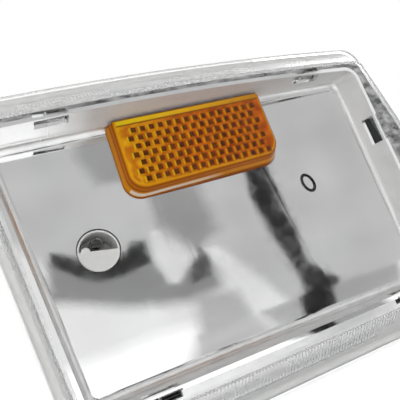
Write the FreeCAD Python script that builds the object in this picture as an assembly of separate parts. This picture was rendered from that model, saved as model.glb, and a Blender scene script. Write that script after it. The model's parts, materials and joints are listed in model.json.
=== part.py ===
import FreeCAD, Part
import math
import os
from collections import namedtuple

V = FreeCAD.Vector

# Corner light of a car. Millimetres. While it is modelled, x runs right, y runs back from the plane
# of the lens rim, and z runs up from the middle of the face. At the end everything is moved so that
# the origin lies midway between the two mounting studs, on the plane they are tightened against.

# Lens rim, the edge of the clear front face
RIM_TOP = 50.9
RIM_BOTTOM = 50.6
RIM_LEFT = 80.4
RIM_RIGHT = 80.4
LEFT_LEAN_DEG = 6.7
RIGHT_LEAN_DEG = 10.8
CROWN_RADIUS = 1200.0
CROWN_X = -8.0
RIM_CORNER = 4.0
RIM_EDGE_ROUND = 1.2

# Lens borders, flange and walls
BORDER_DEPTH = 8.0
FLARE_TOP = 7.7
FLARE_BOTTOM = 7.7
FLARE_LEFT = 1.2
FLARE_RIGHT = 5.4
BORDER_CORNER = 5.0
FLANGE_WIDTH = 3.0
FLANGE_THICK = 2.5
LENS_FACE = 2.5
LENS_SIDE_WALL = 3.0
LENS_END_WALL = 1.4

# Flutes inside the upper and lower borders of the lens
FLUTE_PITCH = 1.25
FLUTE_DEPTH = 0.18
FLUTE_MARGIN = 7.0

# Bead between lens and housing
SEAL_THICK = 1.0
SEAL_SETBACK = 0.5

# Bright bowl behind the face
LIP_GAP = 0.5
LIP_WIDTH = 1.5
LIP_HEIGHT = 2.0
PLATE_THICK = 2.0
PLATE_CLEARANCE = 0.4
SKIRT_WALL = 1.6
BOWL_INSET_TOP = 3.2
BOWL_INSET_BOTTOM = 5.0
BOWL_INSET_LEFT = 3.3
BOWL_INSET_RIGHT = 13.4
BOWL_CORNER = 4.5
BOWL_WALL = 1.5
DRAFT_SIDE = 0.10
DRAFT_LEFT = 0.05
DRAFT_RIGHT = 0.45
FLOOR_DEEPEST = 17.25
FLOOR_DEEPEST_X = -34.7
FLOOR_RADIUS = 900.0
FLOOR_FILLET = 3.0

# Ring mark on the bowl's floor
RING_X = 32.2
RING_Z = 5.5
RING_LONG = 8.4
RING_SHORT = 5.8
RING_LINE = 1.3
RING_DEPTH = 0.5
RING_TURN_DEG = 14.0

# Snap windows: one pane through the lip's ledge and one through the bowl's wall
WINDOW_LENGTH = 11.5
WINDOW_BAR = 0.8
WINDOW_LEDGE = 2.6
WINDOW_DEPTH = 4.4
WINDOW_TOP_X = (-59.0, 44.5)
WINDOW_BOTTOM_X = (-51.0, 46.0)
WINDOW_RIGHT_Z = 18.0

# Lens hooks that reach through the upper and lower windows
HOOK_LENGTH = 6.0
HOOK_THICK = 1.1
HOOK_REACH = 1.1
HOOK_BARB = 0.3
HOOK_GAP = 0.3
HOOK_SHIFT = 1.8

# Amber prism block
AMBER_LEFT = 40.6
AMBER_RIGHT = 25.0
AMBER_TOP_GAP = 2.1
AMBER_HEIGHT = 29.8
AMBER_DRAFT = 0.32
AMBER_FACE_LEFT = 11.2
AMBER_FACE_RIGHT = 8.0
AMBER_CORNER = 6.5
AMBER_CORNER_TOP = 1.2
AMBER_CLEARANCE = 0.2
AMBER_FACE_SPARE = 1.0
AMBER_EDGE = 1.0
PRISM_PITCH_X = 3.45
PRISM_PITCH_Z = 3.15
PRISM_SIZE = 2.7
PRISM_TOP = 1.9
PRISM_HEIGHT = 0.9
PRISM_ROOT = 0.3
PRISM_COLUMNS = 15
PRISM_ROWS = 7
PRISM_MARGIN_LEFT = 7.0
PRISM_MARGIN = 5.2
PEG_RADIUS = 1.5
PEG_CLEARANCE = 0.15
PEG_LENGTH = 4.0
PEG_SPREAD = 40.0

# Rear housing
HOUSING_WALL = 2.2
HOUSING_FLANGE = 2.5
TUB_INSET = 6.5
TUB_INSET_LEFT = 0.0
TUB_TAPER = 3.0
TUB_ROUND = 2.0
REAR_DEPTH = 25.0
REAR_WALL = 2.5
RIB_HEIGHT = 2.5
RIB_WIDTH = 1.8
RIB_X = (-22.0, 12.0, 46.0)
RIB_Z = 22.0
RIB_MARGIN = 3.0

# Mounting studs
STUD_SPREAD = 104.0
STUD_Z = -30.0
STUD_RADIUS = 3.0
STUD_LENGTH = 18.0
STUD_ROOT_RADIUS = 4.0
STUD_HEAD_RADIUS = 5.0
STUD_HEAD_THICK = 2.0
STUD_CHAMFER = 0.8
BOSS_RADIUS = 8.0
BOSS_HEIGHT = 4.0
BOSS_SKIN = 2.0
STUD_SINK = 2.0

# Locating peg above the studs
LOCATOR_X = 0.0
LOCATOR_Z = 34.0
LOCATOR_RADIUS = 3.5
LOCATOR_LENGTH = 9.0

# Foam gasket behind the housing flange
FOAM_THICK = 4.0
FOAM_SETBACK = 1.0
FOAM_CLEARANCE = 0.3

# Bulb port and holder
PORT_X = -54.6
PORT_Z = 2.6
PORT_RADIUS = 7.5
PORT_TUBE_WALL = 1.5
PORT_TUBE_LENGTH = 2.5
COLLAR_RADIUS = 12.0
COLLAR_HEIGHT = 3.5
HOLDER_CLEARANCE = 0.35
HOLDER_RECESS = 0.5
HOLDER_TURN_DEG = 9.0
LUG_REACH = 1.8
LUG_WIDTH = 4.0
LUG_THICK = 2.0
LUG_CLEARANCE = 0.3
LUG_LOCK_DEG = 60.0
HOLDER_FLANGE_RADIUS = 12.0
HOLDER_FLANGE_THICK = 2.2
HOLDER_SEAL_THICK = 1.0
HOLDER_SEAL_RADIUS = 11.0
GRIP_RADIUS = 8.0
GRIP_LENGTH = 11.0
WING_SPAN = 23.0
WING_THICK = 3.6
WING_LENGTH = 8.0
POCKET_RADIUS = 6.5
POCKET_DEPTH = 12.0
KEY_RADIUS = 1.5
KEY_X = -4.3
TERMINAL_WIDTH = 4.0
TERMINAL_THICK = 0.8
TERMINAL_GAP = 5.0
TERMINAL_LENGTH = 7.0
TERMINAL_CLEAR = 0.5

# Bulb
BULB_RADIUS = 2.4
BULB_WALL = 0.4
BULB_LENGTH = 10.0
BULB_RECESS = 1.2
BULB_LIFT = 2.9
PINCH_WIDTH = 4.2
PINCH_THICK = 1.6
PINCH_SEAT = 3.0
PINCH_CLEARANCE = 0.1
LEAD_RADIUS = 0.25
LEAD_SPREAD = 2.2
LEAD_RISE = 4.0
FILAMENT_RADIUS = 0.18

# Breather on the back
VENT_X = 62.0
VENT_Z = 4.0
VENT_RADIUS = 3.0
VENT_BORE = 1.5
VENT_HEIGHT = 6.0
VENT_CAP_WALL = 1.6
VENT_CAP_TOP = 2.0
VENT_CAP_CLEARANCE = 0.1
VENT_CAP_LIFT = 0.5

# Levels that follow from the sizes above
LEFT_LEAN = math.tan(math.radians(LEFT_LEAN_DEG))
RIGHT_LEAN = math.tan(math.radians(RIGHT_LEAN_DEG))
LENS_BACK = BORDER_DEPTH + FLANGE_THICK
HOUSING_FRONT = LENS_BACK + SEAL_THICK
FLANGE_BACK = HOUSING_FRONT + HOUSING_FLANGE
LIP_Y = LENS_FACE + LIP_GAP
PLATE_Y = LIP_Y + LIP_HEIGHT
REAR_FACE = REAR_DEPTH + REAR_WALL
SEAT_Y = REAR_FACE + BOSS_HEIGHT
COLLAR_FACE = REAR_FACE + COLLAR_HEIGHT
STUD_X = (-STUD_SPREAD / 2, STUD_SPREAD / 2)

Sides = namedtuple("Sides", "top bottom left right left_lean right_lean corner")


def unit(x, z):
    length = math.hypot(x, z)
    return (x / length, z / length)


def crowned_corner(sides, side_sign):
    """Centre of an upper corner arc: tangent to a leaning end and, from inside, to the crowned top."""
    lean = sides.left_lean if side_sign < 0 else sides.right_lean
    end = sides.left if side_sign < 0 else sides.right
    reach = CROWN_RADIUS - sides.corner
    low = sides.top - CROWN_RADIUS
    offset = side_sign * (end - sides.corner * math.hypot(1, lean)) - lean * low - CROWN_X
    square = 1 + lean * lean
    root = math.sqrt(offset * offset * lean * lean - square * (offset * offset - reach * reach))
    rise = (offset * lean + root) / square
    return (CROWN_X + offset - lean * rise, low + rise)


def outline(y, sides):
    """Closed wire at depth y with a crowned top, a straight bottom, leaning ends and round corners."""
    r = sides.corner
    low = -sides.bottom + r
    left_normal = unit(-1, -sides.left_lean)
    right_normal = unit(1, sides.right_lean)
    left_x = -sides.left - sides.left_lean * low + r * math.hypot(1, sides.left_lean)
    right_x = sides.right - sides.right_lean * low - r * math.hypot(1, sides.right_lean)
    corners = [crowned_corner(sides, -1), crowned_corner(sides, 1), (right_x, low), (left_x, low)]
    middle = (CROWN_X, sides.top - CROWN_RADIUS)
    tops = [unit(c[0] - middle[0], c[1] - middle[1]) for c in corners[:2]]
    down = (0, -1)
    normals = [(left_normal, tops[0]), (tops[1], right_normal), (right_normal, down), (down, left_normal)]

    def at(centre, direction):
        return V(centre[0] + r * direction[0], y, centre[1] + r * direction[1])

    edges = []
    for index, (centre, (start, end)) in enumerate(zip(corners, normals)):
        halfway = unit(start[0] + end[0], start[1] + end[1])
        edges.append(Part.Arc(at(centre, start), at(centre, halfway), at(centre, end)).toShape())
        after = (index + 1) % 4
        here = at(centre, end)
        there = at(corners[after], normals[after][0])
        if index == 0:
            edges.append(Part.Arc(here, V(CROWN_X, y, sides.top), there).toShape())
        else:
            edges.append(Part.LineSegment(here, there).toShape())
    return Part.Wire(edges)


def shifted(sides, top, bottom, left, right, corner=0.0):
    """The same outline with each side moved outwards by its own amount."""
    return sides._replace(top=sides.top + top, bottom=sides.bottom + bottom, left=sides.left + left,
                          right=sides.right + right, corner=max(sides.corner + corner, 0.5))


def slab(sides, front, back):
    """Straight prism of an outline between two depths."""
    return Part.Face(outline(front, sides)).extrude(V(0, back - front, 0))


def tapered(front, front_sides, back, back_sides):
    """Solid between two outlines at two depths."""
    return Part.makeLoft([outline(front, front_sides), outline(back, back_sides)], True, True)


def rod(radius, front, back, x, z):
    return Part.makeCylinder(radius, back - front, V(x, front, z), V(0, 1, 0))


def block(x_low, x_high, y_low, y_high, z_low, z_high):
    return Part.makeBox(x_high - x_low, y_high - y_low, z_high - z_low, V(x_low, y_low, z_low))


def edges_at(shape, y, slack=1e-4):
    """Edges that lie wholly in the plane at depth y."""
    return [e for e in shape.Edges if abs(e.BoundBox.YMin - y) < slack and abs(e.BoundBox.YMax - y) < slack]


RIM = Sides(RIM_TOP, RIM_BOTTOM, RIM_LEFT, RIM_RIGHT, LEFT_LEAN, RIGHT_LEAN, RIM_CORNER)
BORDER = shifted(RIM, FLARE_TOP, FLARE_BOTTOM, FLARE_LEFT, FLARE_RIGHT, BORDER_CORNER - RIM_CORNER)
FLANGE = shifted(BORDER, FLANGE_WIDTH, FLANGE_WIDTH, FLANGE_WIDTH, FLANGE_WIDTH, FLANGE_WIDTH)
BOWL_MOUTH = shifted(RIM, -BOWL_INSET_TOP, -BOWL_INSET_BOTTOM, -BOWL_INSET_LEFT, -BOWL_INSET_RIGHT)
BOWL_MOUTH = BOWL_MOUTH._replace(right_lean=0.0, corner=BOWL_CORNER)
AMBER_TOP = BOWL_MOUTH.top - AMBER_TOP_GAP
AMBER_BOTTOM = AMBER_TOP - AMBER_HEIGHT


def lens_sides(y):
    """Outer outline of the lens borders at depth y."""
    share = y / BORDER_DEPTH
    return shifted(RIM, FLARE_TOP * share, FLARE_BOTTOM * share, FLARE_LEFT * share, FLARE_RIGHT * share,
                   (BORDER_CORNER - RIM_CORNER) * share)


def inside_lens(y, gap=0.0):
    """Inner outline of the lens at depth y, drawn in by a gap."""
    side = -LENS_SIDE_WALL - gap
    end = -LENS_END_WALL - gap
    return shifted(lens_sides(y), side, side, end, end, -LENS_END_WALL)


def crown_drop(x):
    return CROWN_RADIUS - math.sqrt(CROWN_RADIUS ** 2 - (x - CROWN_X) ** 2)


def flute_cutter(upper):
    """Bar with pointed teeth that follows the inner face of the upper or lower border."""
    sides = inside_lens(LENS_FACE)
    sign = 1 if upper else -1
    level = sides.top if upper else sides.bottom
    flare = FLARE_TOP if upper else FLARE_BOTTOM
    start = -sides.left - sign * LEFT_LEAN * level + FLUTE_MARGIN
    stop = sides.right - sign * RIGHT_LEAN * level - FLUTE_MARGIN
    count = int((stop - start) / FLUTE_PITCH)

    def point(x, height):
        drop = crown_drop(x) if upper else 0.0
        return V(x, LENS_FACE, sign * (level - drop + height))

    points = []
    for index in range(count):
        x = start + index * FLUTE_PITCH
        points.append(point(x, 0))
        points.append(point(x + FLUTE_PITCH / 2, FLUTE_DEPTH))
    points.append(point(start + count * FLUTE_PITCH, 0))
    points.append(point(start + count * FLUTE_PITCH, -LENS_SIDE_WALL))
    points.append(point(start, -LENS_SIDE_WALL))
    face = Part.Face(Part.makePolygon(points + points[:1]))
    depth = BORDER_DEPTH - LENS_FACE
    return face.extrude(V(0, depth, sign * flare * depth / BORDER_DEPTH))


def hook_spots():
    """Windows that take a lens hook: place along x, level of the bowl's mouth, and which way is outwards."""
    spots = [(x, BOWL_MOUTH.top - crown_drop(x), 1) for x in WINDOW_TOP_X]
    return spots + [(x, BOWL_MOUTH.bottom, -1) for x in WINDOW_BOTTOM_X]


def make_hooks():
    """Snap hooks inside the lens: a tab through each window and a barb behind the ledge."""
    hooks = []
    back = PLATE_Y + PLATE_THICK + HOOK_REACH
    for x, level, sign in hook_spots():
        low = level + WINDOW_BAR + HOOK_GAP
        middle = x + HOOK_SHIFT
        ends = (middle - HOOK_LENGTH / 2, middle + HOOK_LENGTH / 2)
        tab = sorted((sign * low, sign * (low + HOOK_THICK)))
        barb = sorted((sign * low, sign * (low + HOOK_THICK + HOOK_BARB)))
        hooks.append(block(*ends, LENS_FACE / 2, back, *tab))
        hooks.append(block(*ends, back - HOOK_REACH + HOOK_GAP, back, *barb))
    return hooks


def make_lens():
    outside = tapered(0, RIM, BORDER_DEPTH, BORDER)
    outside = outside.makeFillet(min(RIM_EDGE_ROUND, LENS_FACE / 2), edges_at(outside, 0))
    body = outside.fuse(slab(FLANGE, BORDER_DEPTH, LENS_BACK))
    hollow = tapered(LENS_FACE, inside_lens(LENS_FACE), BORDER_DEPTH, inside_lens(BORDER_DEPTH))
    tail = slab(inside_lens(BORDER_DEPTH), BORDER_DEPTH, LENS_BACK)
    return body.cut([hollow, tail, flute_cutter(True), flute_cutter(False)]).fuse(make_hooks())


def make_lens_seal():
    outer = shifted(FLANGE, *([-SEAL_SETBACK] * 4))
    ring = slab(outer, LENS_BACK, HOUSING_FRONT)
    return ring.cut(slab(shifted(inside_lens(BORDER_DEPTH), *([SEAL_SETBACK] * 4)), LENS_BACK, HOUSING_FRONT))


def bowl_body(inset):
    """Bowl-shaped solid from the lip to the dished floor, drawn in all round by an inset."""
    far = REAR_DEPTH - LIP_Y
    mouth = shifted(BOWL_MOUTH, *([-inset] * 4), -inset)
    deep = shifted(mouth, -DRAFT_SIDE * far, -DRAFT_SIDE * far, -DRAFT_LEFT * far, -DRAFT_RIGHT * far)
    reach = BOWL_MOUTH.top + BOWL_MOUTH.bottom
    radius = FLOOR_RADIUS - inset
    dish = Part.makeCylinder(radius, 2 * reach,
                             V(FLOOR_DEEPEST_X, FLOOR_DEEPEST - FLOOR_RADIUS, -reach), V(0, 0, 1))
    body = tapered(LIP_Y, mouth, REAR_DEPTH, deep).common(dish)
    floor = max(body.Faces, key=lambda face: face.CenterOfMass.y)
    return body.makeFillet(FLOOR_FILLET, floor.OuterWire.Edges)


def floor_depth(x):
    return FLOOR_DEEPEST - FLOOR_RADIUS + math.sqrt(FLOOR_RADIUS ** 2 - (x - FLOOR_DEEPEST_X) ** 2)


def snap_windows():
    """Cutters for the panes of every snap window."""
    half = WINDOW_LENGTH / 2
    ledge_front = LIP_Y - LIP_GAP
    ledge_back = PLATE_Y + PLATE_THICK
    pane_front = LIP_Y + WINDOW_BAR
    panes = []
    for x, near, sign in hook_spots():
        ledge = sorted((sign * (near + WINDOW_BAR), sign * (near + WINDOW_BAR + WINDOW_LEDGE)))
        wall = sorted((sign * (near - BOWL_WALL), sign * (near + BOWL_WALL + WINDOW_BAR / 2)))
        panes.append(block(x - half, x + half, ledge_front, ledge_back, *ledge))
        panes.append(block(x - half, x + half, pane_front, pane_front + WINDOW_DEPTH, *wall))
    low = WINDOW_RIGHT_Z - half
    high = WINDOW_RIGHT_Z + half
    slope = DRAFT_RIGHT * (WINDOW_DEPTH + WINDOW_BAR)
    near = BOWL_MOUTH.right
    panes.append(block(near + WINDOW_BAR, near + WINDOW_BAR + WINDOW_LEDGE, ledge_front, ledge_back, low, high))
    panes.append(block(near - slope - BOWL_WALL, near + BOWL_WALL + WINDOW_BAR / 2,
                       pane_front, pane_front + WINDOW_DEPTH, low, high))
    return panes


def ring_groove():
    """Oval groove cut into the bowl's floor."""
    depth = floor_depth(RING_X)
    back = depth + RING_DEPTH

    def oval(grow):
        curve = Part.Ellipse(V(0, 0, 0), RING_LONG / 2 + grow, RING_SHORT / 2 + grow)
        face = Part.Face(Part.Wire(curve.toShape()))
        prism = face.extrude(V(0, 0, BOWL_WALL + RING_DEPTH))
        prism.rotate(V(0, 0, 0), V(0, 0, 1), 90 + RING_TURN_DEG)
        prism.rotate(V(0, 0, 0), V(1, 0, 0), 90)
        prism.translate(V(RING_X, back, RING_Z))
        return prism

    return oval(0).cut(oval(-RING_LINE))


def peg_spots():
    middle = (AMBER_RIGHT - AMBER_LEFT) / 2
    height = (AMBER_TOP + AMBER_BOTTOM) / 2
    return [(middle - PEG_SPREAD / 2, height), (middle + PEG_SPREAD / 2, height)]


def make_reflector():
    plate_sides = inside_lens(PLATE_Y, PLATE_CLEARANCE)
    lip = slab(shifted(BOWL_MOUTH, *([LIP_WIDTH] * 4), LIP_WIDTH), LIP_Y, PLATE_Y + PLATE_THICK)
    plate = slab(plate_sides, PLATE_Y, PLATE_Y + PLATE_THICK)
    skirt = slab(plate_sides, PLATE_Y, HOUSING_FRONT)
    skirt = skirt.cut(slab(shifted(plate_sides, *([-SKIRT_WALL] * 4), -SKIRT_WALL), PLATE_Y, HOUSING_FRONT))
    tube_back = floor_depth(PORT_X) + BOWL_WALL + PORT_TUBE_LENGTH
    tube = rod(PORT_RADIUS + PORT_TUBE_WALL, floor_depth(PORT_X) - BOWL_WALL, tube_back, PORT_X, PORT_Z)
    body = lip.fuse([plate, skirt, bowl_body(-BOWL_WALL), tube])
    cuts = [bowl_body(0), rod(PORT_RADIUS, LIP_Y, tube_back, PORT_X, PORT_Z), ring_groove()]
    cuts += snap_windows()
    cuts += [rod(PEG_RADIUS + PEG_CLEARANCE, LIP_Y, REAR_DEPTH, x, z) for x, z in peg_spots()]
    return body.cut(cuts)


def amber_outline(y, grow):
    """Outline of the amber block at depth y: square above, well rounded below."""
    left, right = -AMBER_LEFT - grow, AMBER_RIGHT + grow
    low, high = AMBER_BOTTOM - grow, AMBER_TOP
    diagonal = 1 - math.sqrt(0.5)
    edges = []
    corners = [(left, low, 1, 1, AMBER_CORNER), (left, high, 1, -1, AMBER_CORNER_TOP),
               (right, high, -1, -1, AMBER_CORNER_TOP), (right, low, -1, 1, AMBER_CORNER)]
    ends = []
    for index, (x, z, inward_x, inward_z, r) in enumerate(corners):
        along_x = V(x + inward_x * r, y, z)
        along_z = V(x, y, z + inward_z * r)
        halfway = V(x + inward_x * r * diagonal, y, z + inward_z * r * diagonal)
        start, end = (along_x, along_z) if index % 2 == 0 else (along_z, along_x)
        edges.append(Part.Arc(start, halfway, end).toShape())
        ends.append((start, end))
    joined = []
    for index in range(4):
        joined.append(edges[index])
        joined.append(Part.LineSegment(ends[index][1], ends[(index + 1) % 4][0]).toShape())
    return Part.Wire(joined)


def amber_face(x):
    """Depth of the amber block's sloping front face."""
    share = (x + AMBER_LEFT) / (AMBER_LEFT + AMBER_RIGHT)
    return AMBER_FACE_LEFT + share * (AMBER_FACE_RIGHT - AMBER_FACE_LEFT)


def prism(x, z):
    """Four-sided prism that stands on the amber face, rooted a little inside it."""
    slope = (PRISM_SIZE - PRISM_TOP) / PRISM_HEIGHT

    def square(height):
        half = (PRISM_SIZE - slope * height) / 2
        corners = ((-1, -1), (1, -1), (1, 1), (-1, 1), (-1, -1))
        return Part.makePolygon([V(x + i * half, amber_face(x) - height, z + k * half) for i, k in corners])

    return Part.makeLoft([square(-PRISM_ROOT), square(PRISM_HEIGHT)], True, True)


def prism_spots():
    """Places of the prisms: rows are staggered by half a pitch."""
    left = PRISM_MARGIN_LEFT - AMBER_LEFT
    low = AMBER_BOTTOM + PRISM_MARGIN
    spots = []
    for row in range(PRISM_ROWS):
        shift = 0 if row % 2 else PRISM_PITCH_X / 2
        for column in range(PRISM_COLUMNS):
            spots.append((left + shift + column * PRISM_PITCH_X, low + row * PRISM_PITCH_Z))
    return spots


def make_amber():
    far = FLOOR_DEEPEST + BOWL_WALL
    near = min(AMBER_FACE_LEFT, AMBER_FACE_RIGHT) - AMBER_FACE_SPARE
    body = Part.makeLoft([amber_outline(near, -AMBER_DRAFT * (far - near)), amber_outline(far, 0)], True, True)
    left, right = -AMBER_LEFT, AMBER_RIGHT
    wedge = Part.makePolygon([V(left, near, 0), V(right, near, 0), V(right, amber_face(right), 0),
                              V(left, amber_face(left), 0), V(left, near, 0)])
    front = Part.Face(wedge).extrude(V(0, 0, AMBER_TOP + AMBER_CORNER))
    body = body.cut(front).common(bowl_body(AMBER_CLEARANCE))
    face = min(body.Faces, key=lambda f: f.CenterOfMass.y)
    body = body.makeChamfer(AMBER_EDGE, face.OuterWire.Edges)
    pegs = [rod(PEG_RADIUS, floor_depth(x) - PEG_LENGTH / 2, floor_depth(x) + PEG_LENGTH, x, z)
            for x, z in peg_spots()]
    return body.fuse(pegs).fuse([prism(x, z) for x, z in prism_spots()])


TUB = shifted(BORDER, -TUB_INSET, -TUB_INSET, -TUB_INSET_LEFT, -TUB_INSET)


def tub_sides(y, inset=0.0):
    """Outer outline of the housing's tub at depth y, drawn in by an inset."""
    taper = TUB_TAPER * (y - HOUSING_FRONT) / (REAR_FACE - HOUSING_FRONT)
    return shifted(TUB, *([-taper - inset] * 4))


def across_port(half_length, half_width, front, back, turn):
    """Bar across the bulb port's axis, turned about it."""
    bar = block(PORT_X - half_length, PORT_X + half_length, front, back, PORT_Z - half_width, PORT_Z + half_width)
    bar.rotate(V(PORT_X, 0, PORT_Z), V(0, 1, 0), turn)
    return bar


def make_ribs():
    """Stiffening ribs over the back of the tub."""
    rear = tub_sides(REAR_FACE, RIB_MARGIN)
    back = REAR_FACE + RIB_HEIGHT
    half = RIB_WIDTH / 2
    ribs = [block(x - half, x + half, REAR_DEPTH, back, -rear.bottom, rear.top - crown_drop(x)) for x in RIB_X]
    ribs.append(block(-rear.left - LEFT_LEAN * RIB_Z, rear.right - RIGHT_LEAN * RIB_Z,
                      REAR_DEPTH, back, RIB_Z - half, RIB_Z + half))
    return ribs


def make_housing():
    tub = tapered(HOUSING_FRONT, TUB, REAR_FACE, tub_sides(REAR_FACE))
    tub = tub.makeFillet(TUB_ROUND, edges_at(tub, REAR_FACE))
    outer = slab(FLANGE, HOUSING_FRONT, FLANGE_BACK).fuse(tub)
    inner = tapered(HOUSING_FRONT, tub_sides(HOUSING_FRONT, HOUSING_WALL),
                    REAR_DEPTH, tub_sides(REAR_DEPTH, HOUSING_WALL))
    added = make_ribs()
    boss_front = REAR_DEPTH - STUD_SINK - BOSS_SKIN
    for x in STUD_X:
        added.append(rod(BOSS_RADIUS, boss_front, SEAT_Y, x, STUD_Z))
    added.append(rod(COLLAR_RADIUS, REAR_DEPTH, COLLAR_FACE, PORT_X, PORT_Z))
    added.append(rod(VENT_RADIUS, REAR_DEPTH, REAR_FACE + VENT_HEIGHT, VENT_X, VENT_Z))
    locator = rod(LOCATOR_RADIUS, REAR_DEPTH, SEAT_Y + LOCATOR_LENGTH, LOCATOR_X, LOCATOR_Z)
    added.append(locator.makeChamfer(LOCATOR_RADIUS / 3, edges_at(locator, SEAT_Y + LOCATOR_LENGTH)))
    lug_half = PORT_RADIUS - HOLDER_CLEARANCE + LUG_REACH + LUG_CLEARANCE
    cuts = [make_stud(x) for x in STUD_X]
    cuts.append(rod(PORT_RADIUS, REAR_DEPTH, COLLAR_FACE, PORT_X, PORT_Z))
    cuts.append(across_port(lug_half, LUG_WIDTH / 2 + LUG_CLEARANCE, REAR_DEPTH, COLLAR_FACE,
                            HOLDER_TURN_DEG + LUG_LOCK_DEG))
    cuts.append(rod(VENT_BORE, REAR_DEPTH, REAR_FACE + VENT_HEIGHT, VENT_X, VENT_Z))
    return outer.cut(inner).fuse(added).cut(cuts)


def make_foam_gasket():
    back = FLANGE_BACK + FOAM_THICK
    ring = slab(shifted(FLANGE, *([-FOAM_SETBACK] * 4)), FLANGE_BACK, back)
    return ring.cut(slab(tub_sides(FLANGE_BACK, -FOAM_CLEARANCE), FLANGE_BACK, back))


def make_stud(x):
    """Threaded stud whose thicker root and round head are moulded into the housing's boss."""
    head_front = REAR_DEPTH - STUD_SINK
    tip = SEAT_Y + STUD_LENGTH
    shank = rod(STUD_RADIUS, SEAT_Y, tip, x, STUD_Z)
    shank = shank.makeChamfer(STUD_CHAMFER, edges_at(shank, tip))
    root = rod(STUD_ROOT_RADIUS, head_front, SEAT_Y, x, STUD_Z)
    return shank.fuse([root, rod(STUD_HEAD_RADIUS, head_front, head_front + STUD_HEAD_THICK, x, STUD_Z)])


def make_holder_seal():
    ring = rod(HOLDER_SEAL_RADIUS, COLLAR_FACE, COLLAR_FACE + HOLDER_SEAL_THICK, PORT_X, PORT_Z)
    return ring.cut(rod(PORT_RADIUS, COLLAR_FACE, COLLAR_FACE + HOLDER_SEAL_THICK, PORT_X, PORT_Z))


NOSE_FACE = floor_depth(PORT_X) + HOLDER_RECESS
HOLDER_FLANGE_Y = COLLAR_FACE + HOLDER_SEAL_THICK
GRIP_Y = HOLDER_FLANGE_Y + HOLDER_FLANGE_THICK
GRIP_BACK = GRIP_Y + GRIP_LENGTH
BULB_TIP = NOSE_FACE + BULB_RECESS
BULB_BASE = BULB_TIP + BULB_LENGTH
PINCH_BACK = NOSE_FACE + POCKET_DEPTH + PINCH_SEAT


def turned(shape):
    """Turns a piece of the holder or bulb with the holder's locked position."""
    shape.rotate(V(PORT_X, 0, PORT_Z), V(0, 1, 0), HOLDER_TURN_DEG)
    return shape


def make_terminal(side):
    """One blade contact of the holder."""
    x = PORT_X + side * TERMINAL_GAP / 2
    half = TERMINAL_WIDTH / 2
    return turned(block(x - TERMINAL_THICK / 2, x + TERMINAL_THICK / 2, PINCH_BACK + TERMINAL_CLEAR,
                        GRIP_BACK + TERMINAL_LENGTH, PORT_Z - half, PORT_Z + half))


def bulb_pinch(grow):
    """Flat glass foot of the bulb, grown for the slot that holds it."""
    z = PORT_Z + BULB_LIFT
    wide = PINCH_WIDTH / 2 + grow
    thick = PINCH_THICK / 2 + grow
    return block(PORT_X - wide, PORT_X + wide, BULB_BASE - BULB_RADIUS / 2, PINCH_BACK, z - thick, z + thick)


def make_holder():
    nose = rod(PORT_RADIUS - HOLDER_CLEARANCE, NOSE_FACE, GRIP_Y, PORT_X, PORT_Z)
    flange = rod(HOLDER_FLANGE_RADIUS, HOLDER_FLANGE_Y, GRIP_Y, PORT_X, PORT_Z)
    grip = rod(GRIP_RADIUS, GRIP_Y, GRIP_BACK, PORT_X, PORT_Z)
    wing = block(PORT_X - WING_SPAN / 2, PORT_X + WING_SPAN / 2, GRIP_Y, GRIP_Y + WING_LENGTH,
                 PORT_Z - WING_THICK / 2, PORT_Z + WING_THICK / 2)
    lug_back = REAR_DEPTH - LUG_CLEARANCE
    lug_half = PORT_RADIUS - HOLDER_CLEARANCE + LUG_REACH
    lugs = across_port(lug_half, LUG_WIDTH / 2, lug_back - LUG_THICK, lug_back, 0)
    pocket_back = NOSE_FACE + POCKET_DEPTH
    pocket = rod(POCKET_RADIUS, NOSE_FACE, pocket_back, PORT_X, PORT_Z)
    pocket = pocket.common(block(PORT_X - POCKET_RADIUS, PORT_X + POCKET_RADIUS, NOSE_FACE, pocket_back,
                                 PORT_Z, PORT_Z + POCKET_RADIUS))
    pocket = pocket.cut(rod(KEY_RADIUS, NOSE_FACE, pocket_back, PORT_X + KEY_X, PORT_Z))
    body = turned(nose.fuse([flange, grip, wing, lugs]))
    return body.cut([turned(pocket), turned(bulb_pinch(PINCH_CLEARANCE)), make_terminal(-1), make_terminal(1)])


def lead_wires():
    """The two wires that run through the bulb's foot and carry the filament."""
    z = PORT_Z + BULB_LIFT
    wires = []
    for side in (-1, 1):
        x = PORT_X + side * LEAD_SPREAD / 2
        wires.append(turned(rod(LEAD_RADIUS, BULB_BASE - LEAD_RISE, PINCH_BACK, x, z)))
    return wires


def make_bulb_glass():
    """Hollow glass envelope with a round tip and a flat foot."""
    z = PORT_Z + BULB_LIFT

    def envelope(radius, front, back):
        dome = Part.makeSphere(radius, V(PORT_X, front + radius, z))
        return dome.fuse(rod(radius, front + radius, back, PORT_X, z))

    outside = envelope(BULB_RADIUS, BULB_TIP, BULB_BASE).fuse(bulb_pinch(0))
    inside = envelope(BULB_RADIUS - BULB_WALL, BULB_TIP + BULB_WALL, BULB_BASE - BULB_RADIUS / 2)
    return turned(outside.cut(inside)).cut(lead_wires())


def make_filament():
    z = PORT_Z + BULB_LIFT
    start = V(PORT_X - LEAD_SPREAD / 2 + LEAD_RADIUS, BULB_BASE - LEAD_RISE + LEAD_RADIUS, z)
    return turned(Part.makeCylinder(FILAMENT_RADIUS, LEAD_SPREAD - 2 * LEAD_RADIUS, start, V(1, 0, 0)))


def make_vent_cap():
    """Soft cap pushed over the breather tube."""
    front = REAR_FACE + VENT_CAP_LIFT
    tube_end = REAR_FACE + VENT_HEIGHT
    bore = VENT_RADIUS + VENT_CAP_CLEARANCE
    cap = rod(bore + VENT_CAP_WALL, front, tube_end + VENT_CAP_TOP, VENT_X, VENT_Z)
    return cap.cut(rod(bore, front, tube_end, VENT_X, VENT_Z))


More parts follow.
